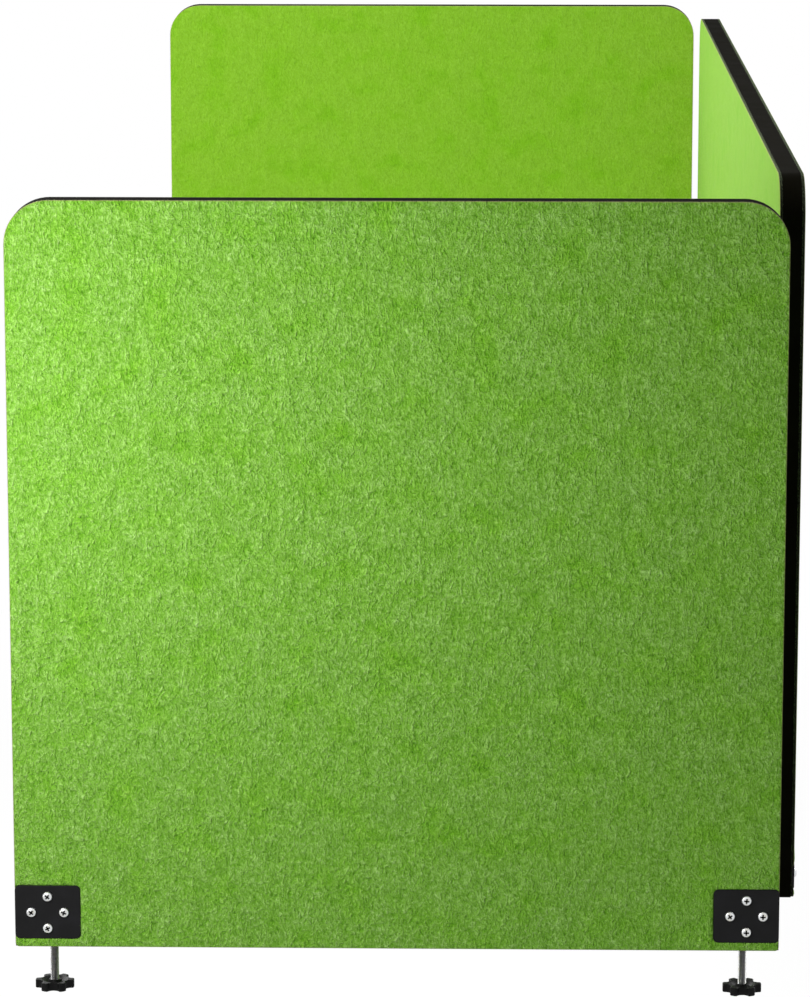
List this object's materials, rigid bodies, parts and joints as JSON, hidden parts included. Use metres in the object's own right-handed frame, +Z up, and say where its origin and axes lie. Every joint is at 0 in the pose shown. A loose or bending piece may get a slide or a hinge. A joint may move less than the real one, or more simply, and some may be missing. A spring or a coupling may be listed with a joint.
{
  "type": "acoustic divider screen",
  "caption": "Clamp-on acoustic desk screens in a U: felt-covered boards with black edges, held on the desktop by C brackets with screw spindles and star knobs.",
  "frame": {"origin": "middle of the set's footprint, on the plane that the knobs reach down to", "axes": "+Z up, +Y towards the back screen, +X towards the right side screen as seen by someone at the desk"},
  "size_m": [2.0566, 0.7282, 0.746],
  "materials": {
    "core_board": "black-dyed board, matt",
    "green_felt": "lime-green needle felt, matt and fibrous",
    "edge_band": "near-black, fine grained",
    "black_steel": "satin black powder coat",
    "zinc_steel": "bright zinc plate",
    "black_knob": "moulded black, semi-matt",
    "pad_rubber": "black, matt"
  },
  "bodies": {
    "screens": {"right_core_board": "core_board", "right_inner_felt": "green_felt", "right_outer_felt": "green_felt", "right_edge_band": "edge_band", "right_clamp_screws": "zinc_steel", "right_weld_nuts": "zinc_steel", "right_jaw_liners": "pad_rubber", "left_core_board": "core_board", "left_inner_felt": "green_felt", "left_outer_felt": "green_felt", "left_edge_band": "edge_band", "left_clamp_screws": "zinc_steel", "left_weld_nuts": "zinc_steel", "left_jaw_liners": "pad_rubber", "back_core_board": "core_board", "back_inner_felt": "green_felt", "back_outer_felt": "green_felt", "back_edge_band": "edge_band", "back_clamp_screws": "zinc_steel", "back_weld_nuts": "zinc_steel", "back_jaw_liners": "pad_rubber", "right_front_clamp_plate": "black_steel", "right_front_clamp_bracket": "black_steel", "right_rear_clamp_plate": "black_steel", "right_rear_clamp_bracket": "black_steel", "left_front_clamp_plate": "black_steel", "left_front_clamp_bracket": "black_steel", "left_rear_clamp_plate": "black_steel", "left_rear_clamp_bracket": "black_steel", "back_right_clamp_plate": "black_steel", "back_right_clamp_bracket": "black_steel", "back_left_clamp_plate": "black_steel", "back_left_clamp_bracket": "black_steel"},
    "right_front_pad": {"right_front_swivel_disc": "zinc_steel", "right_front_rubber_pad": "pad_rubber"},
    "right_front_screw": {"right_front_spindle": "zinc_steel", "right_front_star_knob": "black_knob"},
    "right_rear_pad": {"right_rear_swivel_disc": "zinc_steel", "right_rear_rubber_pad": "pad_rubber"},
    "right_rear_screw": {"right_rear_spindle": "zinc_steel", "right_rear_star_knob": "black_knob"},
    "left_front_pad": {"left_front_swivel_disc": "zinc_steel", "left_front_rubber_pad": "pad_rubber"},
    "left_front_screw": {"left_front_spindle": "zinc_steel", "left_front_star_knob": "black_knob"},
    "left_rear_pad": {"left_rear_swivel_disc": "zinc_steel", "left_rear_rubber_pad": "pad_rubber"},
    "left_rear_screw": {"left_rear_spindle": "zinc_steel", "left_rear_star_knob": "black_knob"},
    "back_right_pad": {"back_right_swivel_disc": "zinc_steel", "back_right_rubber_pad": "pad_rubber"},
    "back_right_screw": {"back_right_spindle": "zinc_steel", "back_right_star_knob": "black_knob"},
    "back_left_pad": {"back_left_swivel_disc": "zinc_steel", "back_left_rubber_pad": "pad_rubber"},
    "back_left_screw": {"back_left_spindle": "zinc_steel", "back_left_star_knob": "black_knob"}
  },
  "joints": [
    {"name": "right_front_pad_travel", "type": "slide", "parent": "screens", "child": "right_front_pad", "axis": [0, 0, 1], "range_m": [-0.01625, 0.024]},
    {"name": "right_front_knob_turn", "type": "hinge", "parent": "right_front_pad", "child": "right_front_screw", "pos_m": [0.969, -0.33415, 0.056], "axis": [0, 0, 1], "range_deg": [-4680, 6912]},
    {"name": "right_rear_pad_travel", "type": "slide", "parent": "screens", "child": "right_rear_pad", "axis": [0, 0, 1], "range_m": [-0.01625, 0.024]},
    {"name": "right_rear_knob_turn", "type": "hinge", "parent": "right_rear_pad", "child": "right_rear_screw", "pos_m": [0.969, 0.30585, 0.056], "axis": [0, 0, 1], "range_deg": [-4680, 6912]},
    {"name": "left_front_pad_travel", "type": "slide", "parent": "screens", "child": "left_front_pad", "axis": [0, 0, 1], "range_m": [-0.01625, 0.024]},
    {"name": "left_front_knob_turn", "type": "hinge", "parent": "left_front_pad", "child": "left_front_screw", "pos_m": [-0.969, -0.33415, 0.056], "axis": [0, 0, 1], "range_deg": [-4680, 6912]},
    {"name": "left_rear_pad_travel", "type": "slide", "parent": "screens", "child": "left_rear_pad", "axis": [0, 0, 1], "range_m": [-0.01625, 0.024]},
    {"name": "left_rear_knob_turn", "type": "hinge", "parent": "left_rear_pad", "child": "left_rear_screw", "pos_m": [-0.969, 0.30585, 0.056], "axis": [0, 0, 1], "range_deg": [-4680, 6912]},
    {"name": "back_right_pad_travel", "type": "slide", "parent": "screens", "child": "back_right_pad", "axis": [0, 0, 1], "range_m": [-0.01625, 0.024]},
    {"name": "back_right_knob_turn", "type": "hinge", "parent": "back_right_pad", "child": "back_right_screw", "pos_m": [0.82, 0.30485, 0.056], "axis": [0, 0, 1], "range_deg": [-4680, 6912]},
    {"name": "back_left_pad_travel", "type": "slide", "parent": "screens", "child": "back_left_pad", "axis": [0, 0, 1], "range_m": [-0.01625, 0.024]},
    {"name": "back_left_knob_turn", "type": "hinge", "parent": "back_left_pad", "child": "back_left_screw", "pos_m": [-0.82, 0.30485, 0.056], "axis": [0, 0, 1], "range_deg": [-4680, 6912]}
  ],
  "couplings": [
    {"joint": "right_front_knob_turn", "follows": "right_front_pad_travel", "rad_per_m": 5026.5},
    {"joint": "right_rear_knob_turn", "follows": "right_rear_pad_travel", "rad_per_m": 5026.5},
    {"joint": "left_front_knob_turn", "follows": "left_front_pad_travel", "rad_per_m": 5026.5},
    {"joint": "left_rear_knob_turn", "follows": "left_rear_pad_travel", "rad_per_m": 5026.5},
    {"joint": "back_right_knob_turn", "follows": "back_right_pad_travel", "rad_per_m": 5026.5},
    {"joint": "back_left_knob_turn", "follows": "back_left_pad_travel", "rad_per_m": 5026.5}
  ]
}
